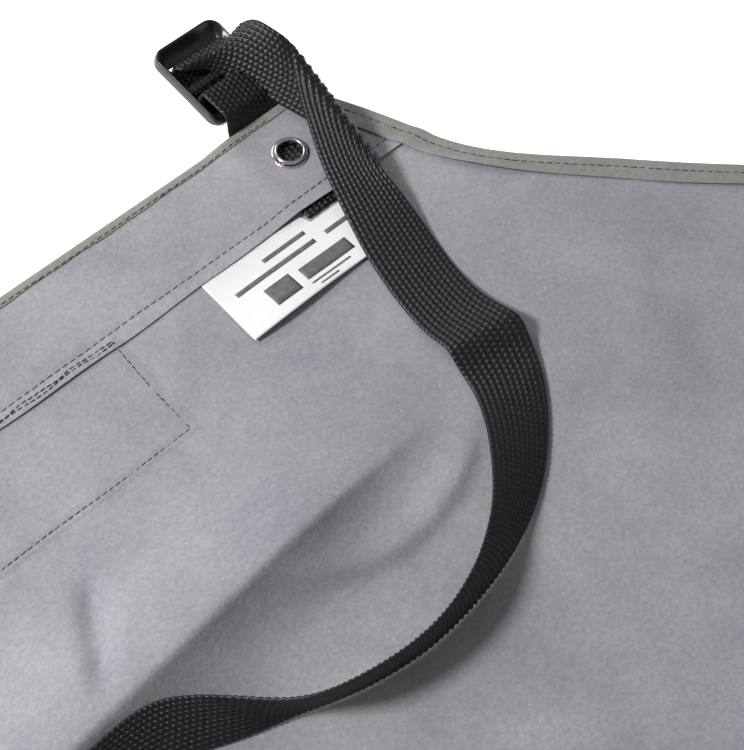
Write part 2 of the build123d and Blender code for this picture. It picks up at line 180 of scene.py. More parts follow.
def cloth_material(name, dark, mid, light, roughness, sheen, weave, fibre, specular):
    """Coated cloth: cloudy base colour, pale rubbed flecks, a fine weave and a soft grain."""
    material, nodes, links, shader = new_material(name, roughness, sheen=sheen, specular=specular)
    vector = object_coordinates(nodes, links)
    cloud = noise_node(nodes, links, vector, 22, 4, 0.6, 0.4)
    base = ramp_node(nodes, links, cloud, [(0.3, dark), (0.52, mid), (0.75, light)])
    fine = noise_node(nodes, links, vector, 640, 3, 0.7)
    grain = ramp_node(nodes, links, fine, [(0.32, (0.8, 0.8, 0.8)), (0.68, (1.16, 1.16, 1.16))])
    coloured = mix_colour(nodes, links, "MULTIPLY", 0.7, base, grain)
    streak_vector = object_coordinates(nodes, links, (1.0, 2.6, 1.0))
    streak = noise_node(nodes, links, streak_vector, 300, 5, 0.75, 1.5)
    flecks = ramp_node(nodes, links, streak, [(0.58, (0, 0, 0)), (0.70, (fibre, fibre, fibre))])
    coloured = mix_colour(nodes, links, "ADD", 1.0, coloured, flecks)
    links.new(coloured, shader.inputs["Base Color"])
    fabric = grid_weave(nodes, links, vector, weave)
    bump_chain(nodes, links, shader, [
        (cloud, 0.30, 0.002), (fine, 0.34, 0.0004), (fabric, 0.09, 0.0002),
    ])
    return material


def webbing_material():
    material, nodes, links, shader = new_material("woven_black", 0.42, specular=0.5)
    vector = object_coordinates(nodes, links)
    fuzz = noise_node(nodes, links, vector, 900, 3, 0.7)
    colour = ramp_node(nodes, links, fuzz, [(0.3, (0.0015, 0.0015, 0.0018)), (0.75, (0.014, 0.014, 0.015))])
    links.new(colour, shader.inputs["Base Color"])
    strands = noise_node(nodes, links, vector, 2600, 2, 0.6)
    bump_chain(nodes, links, shader, [(fuzz, 0.5, 0.0003), (strands, 0.4, 0.0001)])
    return material


def thread_material(name, dark, light, split):
    material, nodes, links, shader = new_material(name, 0.5, sheen=0.1, specular=0.4)
    vector = object_coordinates(nodes, links)
    patches = noise_node(nodes, links, vector, 120, 2, 0.5)
    colour = ramp_node(nodes, links, patches, [(split, dark), (split + 0.12, light)])
    links.new(colour, shader.inputs["Base Color"])
    twist = noise_node(nodes, links, vector, 4000, 1, 0.5)
    bump_chain(nodes, links, shader, [(twist, 0.5, 0.0001)])
    return material


def simple_material(name, dark, light, scale, roughness, bumps, **more):
    """A base colour that wanders between two values, with one or more noise bumps."""
    material, nodes, links, shader = new_material(name, roughness, **more)
    vector = object_coordinates(nodes, links)
    tone = noise_node(nodes, links, vector, scale, 3, 0.6)
    links.new(ramp_node(nodes, links, tone, [(0.3, dark), (0.7, light)]), shader.inputs["Base Color"])
    layers = []
    for bump_scale, strength, distance in bumps:
        layers.append((noise_node(nodes, links, vector, bump_scale, 3, 0.6), strength, distance))
    bump_chain(nodes, links, shader, layers)
    return material


BACK = cloth_material(
    "cloth_back", (0.275, 0.270, 0.303), (0.325, 0.321, 0.352), (0.385, 0.382, 0.405),
    0.62, 0.12, 1500, 0.10, 0.35
)
FRONT = cloth_material(
    "cloth_front", (0.245, 0.258, 0.232), (0.275, 0.287, 0.262), (0.31, 0.32, 0.294),
    0.5, 0.05, 1900, 0.04, 0.4
)
WOVEN = webbing_material()
THREAD = thread_material("thread_grey", (0.035, 0.035, 0.038), (0.10, 0.10, 0.105), 0.52)
# Patch thread: dark grey, with light grey patches at random places painted in as highlights on shiny stitches
PATCH_THREAD = thread_material("thread_dark_painted_highlights", (0.04, 0.04, 0.045), (0.42, 0.42, 0.43), 0.56)
SATIN = simple_material(
    "satin_white", (0.80, 0.80, 0.785), (0.86, 0.86, 0.85), 60, 0.42, [(1400, 0.25, 0.0001)], sheen=0.2
)
PRINT = simple_material(
    "print_grey", (0.10, 0.10, 0.105), (0.16, 0.16, 0.165), 500, 0.55, [(1400, 0.2, 0.0001)]
)
NICKEL = simple_material(
    "nickel", (0.60, 0.58, 0.55), (0.72, 0.70, 0.67), 300, 0.2, [(900, 0.08, 0.0001)], metallic=1.0
)
PLASTIC = simple_material(
    "plastic_black", (0.010, 0.010, 0.011), (0.016, 0.016, 0.017), 200, 0.3, [(1800, 0.12, 0.00008)],
    specular=0.6
)


# ---------------------------------------------------------------- mesh helpers
def smooth(value, start, end):
    t = np.clip((np.asarray(value, float) - start) / (end - start), 0, 1)
    return t * t * (3 - 2 * t)


def make_object(name, vertices, faces, materials, material_index=None):
    mesh = bpy.data.meshes.new(name)
    mesh.from_pydata((np.asarray(vertices, float) * MM).tolist(), [], [list(map(int, f)) for f in faces])
    for material in materials:
        mesh.materials.append(material)
    if material_index is not None:
        mesh.polygons.foreach_set("material_index", np.asarray(material_index, np.int32))
    mesh.polygons.foreach_set("use_smooth", np.ones(len(mesh.polygons), bool))
    mesh.update()
    made = bpy.data.objects.new(name, mesh)
    bpy.context.scene.collection.objects.link(made)
    return made


def declare(piece, slot, *nodes, body="apron"):
    if body:
        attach(piece, body)
    if nodes:
        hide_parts(*nodes)
    return piece


def slab(name, x, y, top, bottom, materials, keep=None):
    """Closed sheet from grids of points; rows run up Y and columns along X."""
    rows, columns = x.shape
    count = rows * columns
    points = np.vstack([np.stack([x, y, z], -1).reshape(-1, 3) for z in (top, bottom)])
    row, column = np.meshgrid(np.arange(rows - 1), np.arange(columns - 1), indexing="ij")
    corner = row * columns + column
    if keep is not None:
        corner = corner[keep]
    corner = corner.ravel()
    quads = np.stack([corner, corner + 1, corner + columns + 1, corner + columns], 1)
    starts = quads.ravel()
    ends = np.roll(quads, -1, axis=1).ravel()
    rim = ~np.isin(starts * count + ends, ends * count + starts)
    a, b = starts[rim], ends[rim]
    walls = np.stack([b, a, a + count, b + count], 1)
    faces = np.vstack([quads, quads[:, ::-1] + count, walls])
    used = np.unique(faces)
    renumber = np.zeros(2 * count, int)
    renumber[used] = np.arange(len(used))
    index = np.concatenate([np.zeros(len(quads)), np.ones(len(quads)), np.zeros(len(walls))])
    return make_object(name, points[used], renumber[faces], materials, index)


def tube_quads(count, around, closed=False):
    """Quads between rings of points, and from the last ring to the first if closed."""
    steps = count if closed else count - 1
    i, j = np.meshgrid(np.arange(steps), np.arange(around), indexing="ij")
    i2, j2 = (i + 1) % count, (j + 1) % around
    quads = np.stack([i * around + j, i * around + j2, i2 * around + j2, i2 * around + j], -1)
    return quads.reshape(-1, 4).tolist()


def sweep(name, rings, materials, closed=False):
    """Closed tube through rings of points, capped at both ends unless it closes on itself."""
    rings = np.asarray(rings, float)
    count, around = rings.shape[:2]
    faces = tube_quads(count, around, closed)
    if not closed:
        faces.append(list(range(around))[::-1])
        faces.append(list(range((count - 1) * around, count * around)))
    return make_object(name, rings.reshape(-1, 3), faces, materials)


def outward(piece):
    """Turns the faces of a closed mesh to point outwards."""
    mesh = bmesh.new()
    mesh.from_mesh(piece.data)
    bmesh.ops.recalc_face_normals(mesh, faces=mesh.faces)
    mesh.to_mesh(piece.data)
    mesh.free()
    return piece


def join_shells(name, shells, materials):
    """One object from several (vertices, faces) shells."""
    vertices, faces, offset = [], [], 0
    for points, polygons in shells:
        vertices.extend(points)
        faces.extend([[v + offset for v in polygon] for polygon in polygons])
        offset += len(points)
    return outward(make_object(name, vertices, faces, materials))


def lathe(name, profile, place, materials, segments=72):
    """Closed ring from an (r, z) profile that goes once round."""
    angles = np.arange(segments) * 2 * math.pi / segments
    rings = [
        [(place[0] + r * math.cos(a), place[1] + r * math.sin(a), z) for r, z in profile] for a in angles
    ]
    return outward(sweep(name, rings, materials, closed=True))


def curve_points(name, points, steps):
    """Points along a NURBS spline that has the given points as control points, in millimetres."""
    curve = bpy.data.curves.new(name, "CURVE")
    curve.dimensions = "3D"
    spline = curve.splines.new("NURBS")
    spline.points.add(len(points) - 1)
    for control, point in zip(spline.points, points):
        control.co = (*[v * MM for v in point], 1)
    spline.order_u = 3
    spline.use_endpoint_u = True
    curve.resolution_u = steps
    holder = bpy.data.objects.new(name, curve)
    mesh = bpy.data.meshes.new_from_object(holder)
    line = np.array([v.co for v in mesh.vertices], float) / MM
    bpy.data.meshes.remove(mesh)
    bpy.data.objects.remove(holder)
    bpy.data.curves.remove(curve)
    return line


def lengths_along(line):
    return np.concatenate([[0], np.cumsum(np.linalg.norm(np.diff(line, axis=0), axis=1))])


# ---------------------------------------------------------------- cloth surfaces
def armhole_line(inset, samples=24):
    """Right armhole edge as dense points, moved into the cloth by inset, with inward directions."""
    angles = np.radians([a for _, _, a in ARMHOLE])
    points = np.array([
        (HALF_BIB + out - inset * math.cos(a), TOP - down - inset * math.sin(a))
        for (out, down, _), a in zip(ARMHOLE, angles)
    ])
    tangents = np.stack([np.sin(angles), -np.cos(angles)], 1)
    line = []
    for k in range(len(points) - 1):
        chord = np.linalg.norm(points[k + 1] - points[k])
        for t in np.linspace(0, 1, samples, endpoint=(k == len(points) - 2)):
            line.append(
                (2 * t**3 - 3 * t**2 + 1) * points[k] + (t**3 - 2 * t**2 + t) * chord * tangents[k]
                + (3 * t**2 - 2 * t**3) * points[k + 1] + (t**3 - t**2) * chord * tangents[k + 1]
            )
    return np.array(line)


edge_cache = {}


def half_width(y, inset=0.0):
    """Half the cloth's width at a height y, less an inset."""
    if inset not in edge_cache:
        edge_cache[inset] = armhole_line(inset)
    edge = edge_cache[inset]
    return np.where(
        y > WAIST, np.interp(-np.asarray(y), -edge[:, 1], edge[:, 0]), HALF_WIDTH - inset
    )


def channel_bulge(x):
    """1 over a webbing channel, 0 away from it."""
    off = np.abs(x) - TAB_X
    flat = WEBBING / 2 + 0.4
    return 1 - np.where(off > 0, smooth(off, flat, WEBBING / 2 + 7), smooth(-off, flat, WEBBING / 2 + 16))


def ridge(x, y):
    """A pressed fold across the bib, gentle towards +Y and with a sharp, steep side towards -Y."""
    d = y - (RIDGE_Y + RIDGE_SLOPE * x)
    steep = 0.7 * np.exp(-np.abs(d) / 9) + 0.3 * np.exp(-((d / 18) ** 2))
    along = smooth(x, -115, -70) * (1 - smooth(x, 35, 122))
    return RIDGE_HEIGHT * np.where(d > 0, np.exp(-((d / 30) ** 2)), steep) * along


def crease(x, y):
    """A soft curved crease that leaves the ridge and ends under the strap."""
    d = y - (CREASE_Y + 0.0085 * (x - 70) ** 2)
    along = smooth(x, 12, 40) * (1 - smooth(x, 95, 122))
    return CREASE_HEIGHT * np.where(d > 0, np.exp(-((d / 9) ** 2)), np.exp(-((d / 4) ** 2))) * along


def surface(x, y):
    """Top of the main panel."""
    x, y = np.asarray(x, float), np.asarray(y, float)
    down = TOP - y
    open_cloth = smooth(down, 44, 90)
    roll = (
        0.9 * np.sin(x / 47 + 0.7 + 0.4 * np.sin(y / 61)) * np.sin(y / 53 + 1.9)
        + 0.7 * np.sin((x + 1.3 * y) / 71 + 2.2) + 0.5 * np.sin((1.4 * x - y) / 39 + 0.5)
        + 2.1
    )
    height = CLOTH + open_cloth * np.clip(roll, 0, None)
    height += open_cloth * (ridge(x, y) + crease(x, y))
    groove = np.exp(-(((x + 19 + (TOP - 107 - y) * 0.48) / 5.2) ** 2))
    groove *= smooth(y, TOP - 142, TOP - 128) * (1 - smooth(y, TOP - 112, TOP - 98))
    height -= GROOVE_DEPTH * groove
    for crease_y, tall in ((TOP - 330, 3.2), (TOP - 560, 2.6), (TOP - 790, 3.0), (TOP - 1000, 2.2)):
        d = y - crease_y - 5 * np.sin(x / 130 + crease_y)
        height += tall * np.exp(-np.abs(d) / 16) * smooth(HALF_WIDTH - np.abs(x), 10, 70)
    for crease_x, tall in ((-220, 2.6), (215, 2.8)):
        d = x - crease_x - 4 * np.sin(y / 150)
        height += tall * np.exp(-np.abs(d) / 14) * smooth(down, 280, 360) * smooth(y - BOTTOM, 8, 60)
    edge = np.minimum(half_width(y) - np.abs(x), y - BOTTOM)
    calm = smooth(edge, 4, 46)
    for sign in (-1, 1):
        reach = np.hypot(x - sign * WAIST_EYELET[0], y - WAIST_EYELET[1])
        calm = calm * smooth(reach, 32, 70)
    height = CLOTH + (height - CLOTH) * (0.18 + 0.82 * calm) * (1 - (1 - calm) * (down > 230))
    patch = (1 - smooth(np.abs(x), PATCH_HALF - 0.4, PATCH_HALF + 0.9))
    below = smooth(down, PATCH_BOTTOM - 0.4, PATCH_BOTTOM + 0.9)
    patch *= smooth(down, PATCH_TOP - 0.9, PATCH_TOP + 0.4) * (1 - below)
    height += CLOTH * patch
    ragged = 0.5 + 0.5 * np.sin(y * 1.9 + np.sin(y * 0.7) * 2)
    seam = np.exp(-(((np.abs(x) - PATCH_ROW_X) / 0.8) ** 2))
    seam = seam * smooth(down, 40, 42) * (1 - smooth(down, 81.6, 82.4))
    height -= (0.22 + 0.18 * ragged) * seam
    ragged = 0.5 + 0.5 * np.sin(x * 1.9 + np.sin(x * 0.7) * 2)
    seam = np.exp(-(((down - PATCH_BOTTOM + PATCH_SEAM) / 0.8) ** 2))
    seam = seam * (1 - smooth(np.abs(x), PATCH_ROW_X, PATCH_ROW_X + 1))
    height -= (0.22 + 0.18 * ragged) * seam
    for sign in (-1, 1):
        reach = np.hypot(x - sign * WAIST_EYELET[0], y - WAIST_EYELET[1])
        height += 0.45 * (1 - smooth(reach, 7.4, 9.5))
    return np.maximum(height, CLOTH)


def facing_top(x, y):
    """Top of the facing strip, raised over the webbing channels and slack between its seams."""
    x, y = np.asarray(x, float), np.asarray(y, float)
    down = TOP - y
    slack = 0.30 * np.sin(math.pi * np.clip((down - TOP_SEAM) / (FACING_SEAM - TOP_SEAM), 0, 1))
    slack = slack * (1 + 0.6 * np.sin(x / 17 + np.sin(x / 41)))
    pucker = 0.12 * np.sin(x / 2.7 + 0.8 * np.sin(x / 6)) * np.exp(-(((down - FACING_SEAM) / 2.2) ** 2))
    groove = 0.16 * np.exp(-(((down - FACING_SEAM) / 0.7) ** 2))
    lip = 0.35 * smooth(down, FACING_SEAM + 1.5, FACING_DEPTH) * (1 + 0.5 * np.sin(x / 13))
    bulge = channel_bulge(x)
    return surface(x, y) + CLOTH + (CHANNEL_H * bulge) + (slack + pucker - groove) * (1 - 0.7 * bulge) + lip


def layer_top(x, y):
    """Top of whatever the hems lie on: the facing near the bib's top edge, the panel elsewhere."""
    on_facing = smooth(y, TOP - FACING_DEPTH - 6, TOP - FACING_DEPTH + 0.4)
    return surface(x, y) + on_facing * (facing_top(x, np.maximum(y, TOP - FACING_DEPTH)) - surface(x, y))


# ---------------------------------------------------------------- camera
CAMERA_PLACE = (-65.8, 285.0, 449.7)
CAMERA_RIGHT = (0.74573, -0.66510, 0.03904)
CAMERA_UP = (0.57991, 0.67683, 0.45344)
CAMERA_BACK = (-0.32800, -0.31551, 0.89043)
camera_data = bpy.data.cameras.new("camera")
camera_data.lens = 72.17
camera_data.sensor_width = 36
camera_data.sensor_fit = "HORIZONTAL"
camera_data.clip_start = 0.02
camera = bpy.data.objects.new("camera", camera_data)
bpy.context.scene.collection.objects.link(camera)
camera_axes = Matrix((CAMERA_RIGHT, CAMERA_UP, CAMERA_BACK)).transposed()
camera.matrix_world = Matrix.Translation(Vector(CAMERA_PLACE) * MM) @ camera_axes.to_4x4()
bpy.context.scene.camera = camera


# ---------------------------------------------------------------- neck strap
# Slide adjuster's place: its own x runs across the webbing, y along it, z up through the frame
ADJUSTER_TURN = (
    Matrix.Rotation(math.radians(12.5), 3, "X") @ Matrix.Rotation(math.radians(10.5), 3, "Y")
    @ Matrix.Rotation(math.radians(4.5), 3, "Z")
)
ADJUSTER_AT = Vector((134.6, TOP + 22, 10))
CENTRE_BAR_Y = -1.0


def from_adjuster(x, y, z):
    return tuple(ADJUSTER_TURN @ Vector((x, y, z)) + ADJUSTER_AT)


# Both edges of the strap, point by point: (x, y beyond the top edge, z) of one edge and of the other
STRAP_EDGES = [
    ((148.0, 24.6, 16.5), (126.4, 25.2, 14.5)),
    ((151.4, 25.6, 22.5), (131.6, 24.6, 12.5)),
    ((154.4, 21.0, 26.5), (136.6, 20.6, 9.6)),
    ((156.0, 14.4, 26.5), (140.6, 13.4, 7.6)),
    ((157.4, 10.2, 25.5), (144.6, 2.6, 6.2)),
    ((158.6, 9.2, 23.6), (149.8, -12.4, 4.6)),
    ((159.4, 8.8, 21.6), (154.6, -30.0, 4.2)),
    ((160.0, 8.2, 20.2), (157.4, -42.6, 4.8)),
    ((160.0, 7.4, 20.8), (158.0, -44.0, 6.6)),
    ((156.4, 3.0, 20.6), (155.4, -46.0, 8.6)),
    ((150.4, -7.2, 15.6), (154.6, -47.6, 9.2)),
    ((144.4, -21.0, 11.2), (154.2, -49.6, 9.2)),
    ((139.8, -31.4, 9.0), (154.2, -52.0, 8.4)),
    ((135.7, -43.3, 7.4), (154.1, -58.3, 7.2)),
    ((131.7, -56.2, 6.0), (153.3, -65.8, 6.0)),
    ((127.8, -69.7, 4.8), (152.0, -74.9, 4.8)),
    ((125.1, -82.9, 4.4), (149.9, -85.5, 4.4)),
    ((123.1, -95.5, 4.4), (147.9, -97.1, 4.8)),
    ((122.1, -107.4, 5.6), (147.2, -109.6, 6.4)),
    ((122.2, -116.6, 8.8), (149.0, -121.8, 10.2)),
    ((121.8, -119.8, 8.2), (149.8, -125.4, 9.4)),
    ((121.2, -126.5, 4.5), (147.8, -132.4, 5.5)),
    ((119.6, -134.8, 4.2), (144.3, -141.1, 4.2)),
    ((113.3, -145.9, 8.2), (137.1, -151.8, 3.6)),
    ((104.2, -157.5, 12.3), (127.0, -162.5, 3.4)),
    ((93.9, -168.3, 15.4), (115.8, -171.5, 3.2)),
    ((83.0, -176.0, 18.6), (102.7, -178.7, 3.2)),
    ((70.7, -182.6, 21.6), (87.2, -184.1, 3.2)),
    ((53.9, -187.5, 23.6), (68.1, -187.6, 3.0)),
    ((36.7, -187.7, 25.0), (48.1, -188.5, 2.8)),
    ((19.4, -184.6, 25.6), (28.1, -185.0, 2.8)),
    ((8.4, -180.4, 24.6), (14.6, -180.6, 2.8)),
    ((0.6, -173.0, 20.0), (5.6, -177.4, 2.6)),
    ((-6.4, -164.4, 17.0), (-2.0, -175.4, 3.0)),
    ((-14.4, -156.0, 15.6), (-11.6, -172.4, 4.0)),
    ((-24.4, -149.0, 15.6), (-26.0, -166.4, 5.0)),
    ((-37.0, -147.4, 17.0), (-43.0, -162.0, 4.0)),
    ((-58.0, -150.0, 20.0), (-62.0, -160.0, 3.0)),
    ((-78.0, -148.0, 24.0), (-81.0, -153.0, 2.6)),
    ((-93.0, -135.0, 26.0), (-95.0, -137.0, 2.4)),
    ((-101.0, -112.0, 26.4), (-102.0, -112.0, 2.2)),
    ((-103.0, -82.0, 26.4), (-103.0, -82.0, 2.2)),
    ((-100.0, -50.0, 26.4), (-100.0, -50.0, 2.6)),
    ((-95.6, -18.0, 26.6), (-95.6, -18.0, 3.6)),
    ((-94.0, 8.0, 26.4), (-94.0, 8.0, 3.4)),
    ((-99.0, 27.0, 25.6), (-97.0, 27.0, 3.0)),
    ((-111.0, 38.4, 23.4), (-105.0, 34.0, 3.4)),
    ((-126.0, 39.4, 20.0), (-112.0, 31.0, 5.0)),
    ((-140.6, 31.0, 15.4), (-118.0, 23.0, 6.4)),
    ((-148.4, 18.0, 7.4), (-123.4, 14.0, 5.2)),
    ((-149.0, 7.0, 2.6), (-124.0, 6.0, 2.4)),
    ((-148.9, 2.0, 1.5), (-123.9, 2.0, 1.5)),
    ((-148.9, -5.0, 1.3), (-123.9, -5.0, 1.3)),
]
# Its start: from under the adjuster's centre bar, up through the far slot and over the bar
TURN_AROUND_BAR = [
    (12.5, -4.5, -3.3), (12.5, 1.6, -3.6), (12.5, 6.8, -3.2), (12.5, 9.4, -0.8), (12.5, 9.2, 2.2),
    (12.4, 6.2, 4.4),
]
SAMPLES_PER_PEBBLE = 4
PEBBLES_ACROSS = 12
PEBBLE = WEBBING / PEBBLES_ACROSS
PEBBLE_HEIGHT = 0.72


def pebbles(across, along):
    """Woven surface: staggered oval bumps, one per crossing of the ribs."""
    column = np.floor(across + 1e-6)
    shifted = along + 0.5 * (column % 2)
    bump = np.abs(np.sin(math.pi * across)) * np.abs(np.sin(math.pi * shifted))
    return bump ** 0.75


def woven_ribbon(name, edge_a, edge_b, thickness=WEBBING_T, true_until=0.0):
    """Woven strap between two edge lines with matching points.
    Up to the length true_until the weave follows each lengthwise line's own length, so that a
    diagonal fold keeps the weft square; after it the rows settle onto the middle line's length."""
    columns = PEBBLES_ACROSS * SAMPLES_PER_PEBBLE + 1
    across = np.linspace(0, 1, columns)
    lines = edge_a[:, None] * (1 - across)[None, :, None] + edge_b[:, None] * across[None, :, None]
    step = np.linalg.norm(np.diff(lines, axis=0), axis=2)
    own = np.concatenate([np.zeros((1, columns)), np.cumsum(step, axis=0)])
    middle = own[:, columns // 2]
    settle = 1 - smooth(middle, true_until, true_until + 70)
    measure = middle[:, None] + (own - middle[:, None]) * settle[:, None]
    measure = np.maximum.accumulate(measure, axis=0)
    pitch = PEBBLE / SAMPLES_PER_PEBBLE
    rows = int(middle[-1] / pitch)
    marks = np.arange(rows + 1) * pitch
    grid = np.empty((rows + 1, columns, 3))
    for j in range(columns):
        for axis in range(3):
            grid[:, j, axis] = np.interp(marks, measure[:, j], lines[:, j, axis])
    along_vector = np.gradient(grid, axis=0)
    across_vector = np.gradient(grid, axis=1)
    normal = np.cross(across_vector, along_vector)
    normal /= np.maximum(np.linalg.norm(normal, axis=2, keepdims=True), 1e-9)
    for _ in range(6):
        normal[1:-1] = (normal[:-2] + 2 * normal[1:-1] + normal[2:]) / 4
    normal /= np.maximum(np.linalg.norm(normal, axis=2, keepdims=True), 1e-9)
    u, v = np.meshgrid(across * PEBBLES_ACROSS, marks / PEBBLE)
    selvedge = 1 - 0.55 * np.abs(2 * across - 1) ** 14
    half = (thickness / 2 - 0.12) * selvedge[None, :]
    upper = grid + normal * (half + (pebbles(u, v) - 0.4) * PEBBLE_HEIGHT * selvedge)[..., None]
    lower = grid - normal * (half + (pebbles(u, v + 0.5) - 0.4) * PEBBLE_HEIGHT * selvedge)[..., None]
    rings = np.concatenate([upper, lower[:, ::-1]], axis=1)
    return outward(sweep(name, rings, [WOVEN]))


bar_a = [from_adjuster(*p) for p in TURN_AROUND_BAR]
bar_b = [from_adjuster(-x, y, z) for x, y, z in TURN_AROUND_BAR]
strap_a = bar_a + [(x, TOP + y, z) for (x, y, z), _ in STRAP_EDGES]
strap_b = bar_b + [(x, TOP + y, z) for _, (x, y, z) in STRAP_EDGES]
edge_a = curve_points("edge_a", strap_a, 24)
edge_b = curve_points("edge_b", strap_b, 24)
# Neither edge sinks into the cloth it lies on
for edge in (edge_a, edge_b):
    edge[:, 2] = np.maximum(edge[:, 2], surface(edge[:, 0], edge[:, 1]) + STRAP_CLEARANCE)
neck_strap = woven_ribbon("neck_strap_woven", edge_a, edge_b, true_until=85)
declare(neck_strap, "webbing", "neck_strap_flat", "neck_strap_edge", "strap_turn", body=None)
# The blend weighs points along one straight line, so the far left of the strap also follows the
# adjuster: right at rest, wrong at the joint's limits.
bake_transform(neck_strap)

# Its sewn-in end under the left of the facing
anchor_line = [(-TAB_X, TOP - TAB_END, 1.3), (-TAB_X, TOP - 25, 1.3), (-TAB_X, TOP - 5.5, 1.3)]
anchor_a = curve_points("anchor_a", [(x - 12.5, y, z) for x, y, z in anchor_line], 40)
anchor_b = curve_points("anchor_b", [(x + 12.5, y, z) for x, y, z in anchor_line], 40)
declare(woven_ribbon("strap_anchor_woven", anchor_a, anchor_b), "webbing", "strap_anchor")

# Webbing loop that holds the adjuster: in the channel, up over the near bar and back below it
TAB_LINE = [
    (-TAB_END, 1.3), (-36.0, 1.3), (-22.0, 1.3), (-10.0, 1.3), (-2.0, 1.4), (0.8, 2.6),
]
TAB_LOOP = [
    (-18.6, 4.3), (-15.0, 4.4), (-9.0, 4.2), (-5.2, 3.4), (-4.9, 0.0), (-5.4, -3.4), (-9.5, -4.3), (-13.6, -4.2),
]
tab_a = [(TAB_X + 12.5, TOP + y, z) for y, z in TAB_LINE] + [from_adjuster(12.5, y, z) for y, z in TAB_LOOP]
tab_b = [(TAB_X - 12.5, TOP + y, z) for y, z in TAB_LINE] + [from_adjuster(-12.5, y, z) for y, z in TAB_LOOP]
tab = woven_ribbon("adjuster_tab_woven", curve_points("tab_a", tab_a, 24), curve_points("tab_b", tab_b, 24))
declare(tab, "webbing", "adjuster_tab")


# ---------------------------------------------------------------- slide adjuster
def rounded_loop(half_x, low_y, high_y, radius, straight=18, corner=12):
    """Points round a rounded rectangle, from the middle of its far side, with matching counts."""
    points = []
    centres = [
        (half_x - radius, high_y - radius, 90), (half_x - radius, low_y + radius, 0),
        (-half_x + radius, low_y + radius, -90), (-half_x + radius, high_y - radius, 180),
    ]
    for k, (cx, cy, start) in enumerate(centres):
        for t in np.linspace(0, 1, corner, endpoint=False):
            a = math.radians(start - 90 * t)
            points.append((cx + radius * math.cos(a), cy + radius * math.sin(a)))
        a = math.radians(start - 90)
        begin = np.array((cx + radius * math.cos(a), cy + radius * math.sin(a)))
        nx, ny, nstart = centres[(k + 1) % 4]
        b = math.radians(nstart)
        end = np.array((nx + radius * math.cos(b), ny + radius * math.sin(b)))
        for t in np.linspace(0, 1, straight, endpoint=False):
            points.append(tuple(begin + (end - begin) * t))
    return np.array(points)


def adjuster_frame():
    """The frame: a raised rim outside, a face that dips into the opening, all edges rounded."""
    outer = rounded_loop(16.0, -18.0, 18.0, 5.0)
    inner = rounded_loop(13.3, -13.6, 10.9, 1.6)
    rings = []
    for (ox, oy), (ix, iy) in zip(outer, inner):
        width = math.hypot(ix - ox, iy - oy)
        dx, dy = (ix - ox) / width, (iy - oy) / width
        near = 1 - float(smooth(oy, -17.6, -14.5))
        far = float(smooth(oy, 12.0, 17.0))
        rim = 3.2 - 1.3 * near
        dip = 1.7 - 2.6 * far
        belly = -1.7
        section = [
            (0.9, belly), (0.35, belly + 0.2), (0.05, belly + 0.8), (0.0, 0.0), (0.05, rim - 0.75),
            (0.3, rim - 0.22), (0.75, rim), (1.15, rim - 0.12), (1.5, rim - 0.55),
            (1.5 + 0.22 * (width - 1.9), (rim + dip) / 2 - 0.1 + 0.2 * near),
            (1.5 + 0.6 * (width - 1.9), dip + 0.05),
            (width - 0.25, dip - 0.15), (width, dip - 0.7), (width, -0.9), (width - 0.4, belly + 0.1),
            (width - 0.9 if width > 2.2 else width - 0.7, belly),
        ]
        rings.append([from_adjuster(ox + dx * d, oy + dy * d, z) for d, z in section])
    points = np.array(rings)
    count, around = points.shape[:2]
    return points.reshape(-1, 3), tube_quads(count, around, closed=True)


def adjuster_bar():
    """The ribbed centre bar between the two side rails."""
    rings = []
    for x in np.linspace(-14.2, 14.2, 143):
        rib = 0.16 * (0.5 + 0.5 * math.cos(2 * math.pi * x / 2.2))
        ring = []
        for a in np.linspace(0, 2 * math.pi, 20, endpoint=False):
            c, s = math.cos(a), math.sin(a)
            ring.append(from_adjuster(
                x, CENTRE_BAR_Y + (1.85 + rib) * math.copysign(abs(c) ** 0.7, c),
                (1.55 + rib) * math.copysign(abs(s) ** 0.7, s),
            ))
        rings.append(ring)
    points = np.array(rings)
    count, around = points.shape[:2]
    faces = tube_quads(count, around)
    faces += [list(range(around)), list(range((count - 1) * around, count * around))]
    return points.reshape(-1, 3), faces


adjuster = join_shells("adjuster_moulded", [adjuster_frame(), adjuster_bar()], [PLASTIC])
subdivision = adjuster.modifiers.new("smooth", "SUBSURF")
subdivision.levels = subdivision.render_levels = 1
declare(adjuster, "adjuster_plastic", "tri_glide", body="adjuster")


# ---------------------------------------------------------------- main panel and front patch
def merge_near(values, wanted):
    """Moves the nearest of an array of values onto each wanted one."""
    for value in wanted:
        values[np.argmin(np.abs(values - value))] = value
    return values


row_y = np.concatenate([
    np.arange(TOP - 0.5, TOP - 46, -1.4), np.arange(TOP - 46, TOP - 96, -0.7),
    np.arange(TOP - 96, TOP - 200, -1.4), np.arange(TOP - 200, TOP - 260, -2.5),
    np.arange(TOP - 260, BOTTOM + 1, -5.0), [BOTTOM + 0.5],
])[::-1]
row_y = merge_near(row_y, [WAIST_EYELET[1]])
column_u = np.linspace(-1, 1, 281)
eyelet_u = WAIST_EYELET[0] / (HALF_WIDTH - 0.55)
column_u = merge_near(column_u, [-eyelet_u, eyelet_u])
half = half_width(row_y, 0.55)
corner_cut = np.clip(BOTTOM + BOTTOM_RADIUS - row_y, 0, BOTTOM_RADIUS)
half = half - (BOTTOM_RADIUS - np.sqrt(BOTTOM_RADIUS**2 - np.minimum(corner_cut, BOTTOM_RADIUS - 0.4) ** 2))
panel_x = half[:, None] * column_u[None, :]
panel_y = np.repeat(row_y[:, None], len(column_u), axis=1)
keep = np.ones((len(row_y) - 1, len(column_u) - 1), bool)
